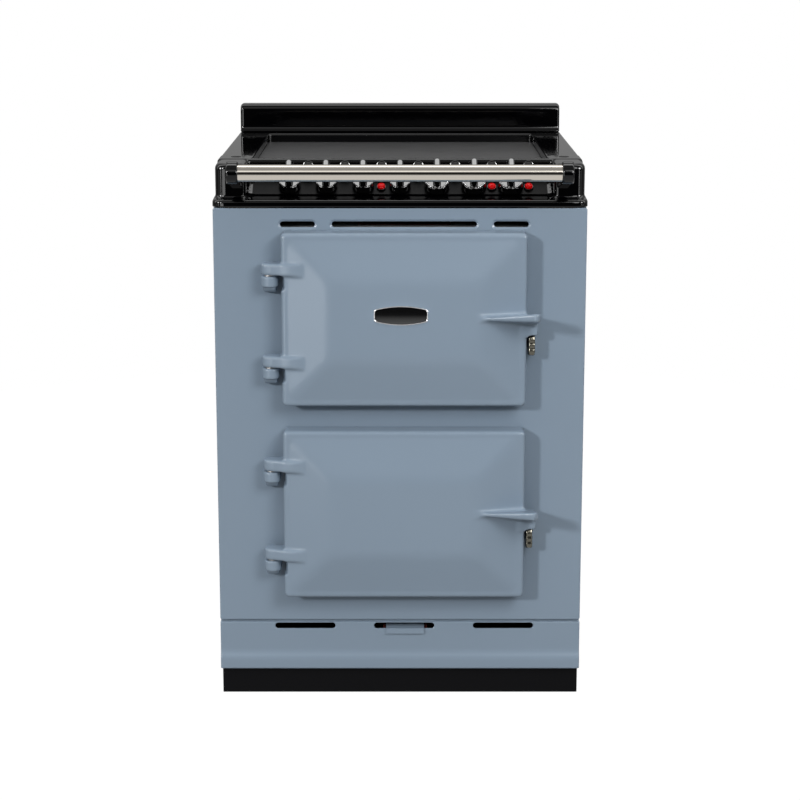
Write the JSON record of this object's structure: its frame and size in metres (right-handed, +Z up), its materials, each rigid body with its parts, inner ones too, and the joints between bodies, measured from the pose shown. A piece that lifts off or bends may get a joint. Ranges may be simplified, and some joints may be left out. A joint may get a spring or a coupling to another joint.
{
  "type": "range cooker",
  "caption": "Free-standing electric range cooker with two cast oven doors, a recessed glass hob, sloped controls behind a steel handrail and a low splashback.",
  "frame": {"origin": "on the floor, at the middle of the overall width and depth", "axes": "+Z up, the doors and controls face -Y, +X to the right as seen from the front"},
  "size_m": [0.602, 0.678, 0.94],
  "materials": {
    "enamel_panels": "gloss vitreous enamel on sheet steel",
    "enamel_castings": "gloss vitreous enamel on cast iron",
    "black_enamel": "gloss black vitreous enamel on cast iron",
    "black_plinth": "satin black paint",
    "zinc_sheet": "galvanised sheet",
    "black_glass": "polished black ceramic glass",
    "element_steel": "heat stained steel",
    "black_fascia": "gloss black",
    "knob_black": "gloss black moulding with bright trim",
    "switch_plastic": "matt moulding",
    "lamp_red": "clear red lens",
    "bezel_black": "gloss black",
    "marker_grey": "printed dark grey disc",
    "rail_steel": "brushed stainless steel",
    "pin_steel": "turned steel",
    "nickel": "nickel plate",
    "oven_enamel": "dark speckled oven enamel",
    "mineral_wool": "mineral wool",
    "glass_rope": "woven glass fibre rope",
    "shelf_chrome": "plated wire",
    "fan_metal": "pressed sheet",
    "badge_chrome": "bright plate",
    "badge_black": "gloss black",
    "slide_plate": "pale enamel"
  },
  "bodies": {
    "cooker_body": {"plinth": "black_plinth", "base_tray": "zinc_sheet", "levelling_feet": "pin_steel", "side_panel_left": "enamel_panels", "side_panel_right": "enamel_panels", "back_panel": "zinc_sheet", "front_panel": "enamel_panels", "lower_panel": "enamel_panels", "top_deck": "zinc_sheet", "oven_rails": "zinc_sheet", "top_casting": "black_enamel", "top_plugs": "black_fascia", "splashback": "black_enamel", "hob_glass": "black_glass", "hob_elements": "element_steel", "element_tray": "zinc_sheet", "control_fascia": "black_fascia", "control_switches": "switch_plastic", "neon_lamps": "lamp_red", "neon_bezels": "bezel_black", "zone_markers": "marker_grey", "handrail_bar": "rail_steel", "handrail_brackets": "black_enamel", "hinge_lugs": "enamel_castings", "door_catches": "nickel", "upper_oven_liner": "oven_enamel", "lower_oven_liner": "oven_enamel", "oven_insulation": "mineral_wool", "door_seals": "glass_rope", "upper_shelf_runners": "shelf_chrome", "lower_shelf_runners": "shelf_chrome", "upper_oven_shelves": "shelf_chrome", "lower_oven_shelves": "shelf_chrome", "grill_element": "element_steel", "ring_element": "element_steel", "fan_baffle": "oven_enamel", "fan_motor": "pin_steel", "blower_housing": "zinc_sheet", "slide_guide": "zinc_sheet", "terminal_box": "switch_plastic"},
    "upper_door_body": {"upper_door": "enamel_castings", "upper_door_lining": "oven_enamel", "upper_door_insulation": "mineral_wool", "upper_door_pins": "pin_steel", "badge_rim": "badge_chrome", "badge_plate": "badge_black"},
    "lower_door_body": {"lower_door": "enamel_castings", "lower_door_lining": "oven_enamel", "lower_door_insulation": "mineral_wool", "lower_door_pins": "pin_steel"},
    "pull_out_body": {"pull_out_plate": "slide_plate"},
    "oven_fan_body": {"oven_fan": "fan_metal"},
    "blower_rotor_body": {"blower_rotor": "fan_metal"},
    "hob_knob_1_body": {"hob_knob_1": "knob_black"},
    "hob_knob_2_body": {"hob_knob_2": "knob_black"},
    "hob_knob_3_body": {"hob_knob_3": "knob_black"},
    "hob_knob_4_body": {"hob_knob_4": "knob_black"},
    "function_knob_body": {"function_knob": "knob_black"},
    "upper_oven_knob_body": {"upper_oven_knob": "knob_black"},
    "lower_oven_knob_body": {"lower_oven_knob": "knob_black"}
  },
  "joints": [
    {"name": "upper_door_hinge", "type": "hinge", "parent": "cooker_body", "child": "upper_door_body", "pos_m": [-0.208, -0.258, 0.6462], "axis": [0, 0, -1], "range_deg": [0, 110]},
    {"name": "lower_door_hinge", "type": "hinge", "parent": "cooker_body", "child": "lower_door_body", "pos_m": [-0.208, -0.258, 0.3238], "axis": [0, 0, -1], "range_deg": [0, 110]},
    {"name": "hob_knob_1_turn", "type": "hinge", "parent": "cooker_body", "child": "hob_knob_1_body", "pos_m": [-0.18, -0.16101, 0.84616], "axis": [0, 0.5707, -0.8211], "range_deg": [0, 300]},
    {"name": "hob_knob_2_turn", "type": "hinge", "parent": "cooker_body", "child": "hob_knob_2_body", "pos_m": [-0.12, -0.16101, 0.84616], "axis": [0, 0.5707, -0.8211], "range_deg": [0, 300]},
    {"name": "hob_knob_3_turn", "type": "hinge", "parent": "cooker_body", "child": "hob_knob_3_body", "pos_m": [-0.06, -0.16101, 0.84616], "axis": [0, 0.5707, -0.8211], "range_deg": [0, 300]},
    {"name": "hob_knob_4_turn", "type": "hinge", "parent": "cooker_body", "child": "hob_knob_4_body", "pos_m": [0, -0.16101, 0.84616], "axis": [0, 0.5707, -0.8211], "range_deg": [0, 300]},
    {"name": "function_knob_turn", "type": "hinge", "parent": "cooker_body", "child": "function_knob_body", "pos_m": [0.06, -0.16101, 0.84616], "axis": [0, 0.5707, -0.8211], "range_deg": [0, 240]},
    {"name": "upper_oven_knob_turn", "type": "hinge", "parent": "cooker_body", "child": "upper_oven_knob_body", "pos_m": [0.12, -0.16101, 0.84616], "axis": [0, 0.5707, -0.8211], "range_deg": [0, 270]},
    {"name": "lower_oven_knob_turn", "type": "hinge", "parent": "cooker_body", "child": "lower_oven_knob_body", "pos_m": [0.18, -0.16101, 0.84616], "axis": [0, 0.5707, -0.8211], "range_deg": [0, 270]},
    {"name": "pull_out_slide", "type": "slide", "parent": "cooker_body", "child": "pull_out_body", "axis": [0, -1, 0], "range_m": [0, 0.06]},
    {"name": "oven_fan_spin", "type": "hinge", "parent": "cooker_body", "child": "oven_fan_body", "pos_m": [0.0065, 0.179, 0.3238], "axis": [0, 1, 0], "continuous": true},
    {"name": "blower_spin", "type": "hinge", "parent": "cooker_body", "child": "blower_rotor_body", "pos_m": [0.007, 0.054, 0.7885], "axis": [0, 0, 1], "continuous": true}
  ]
}
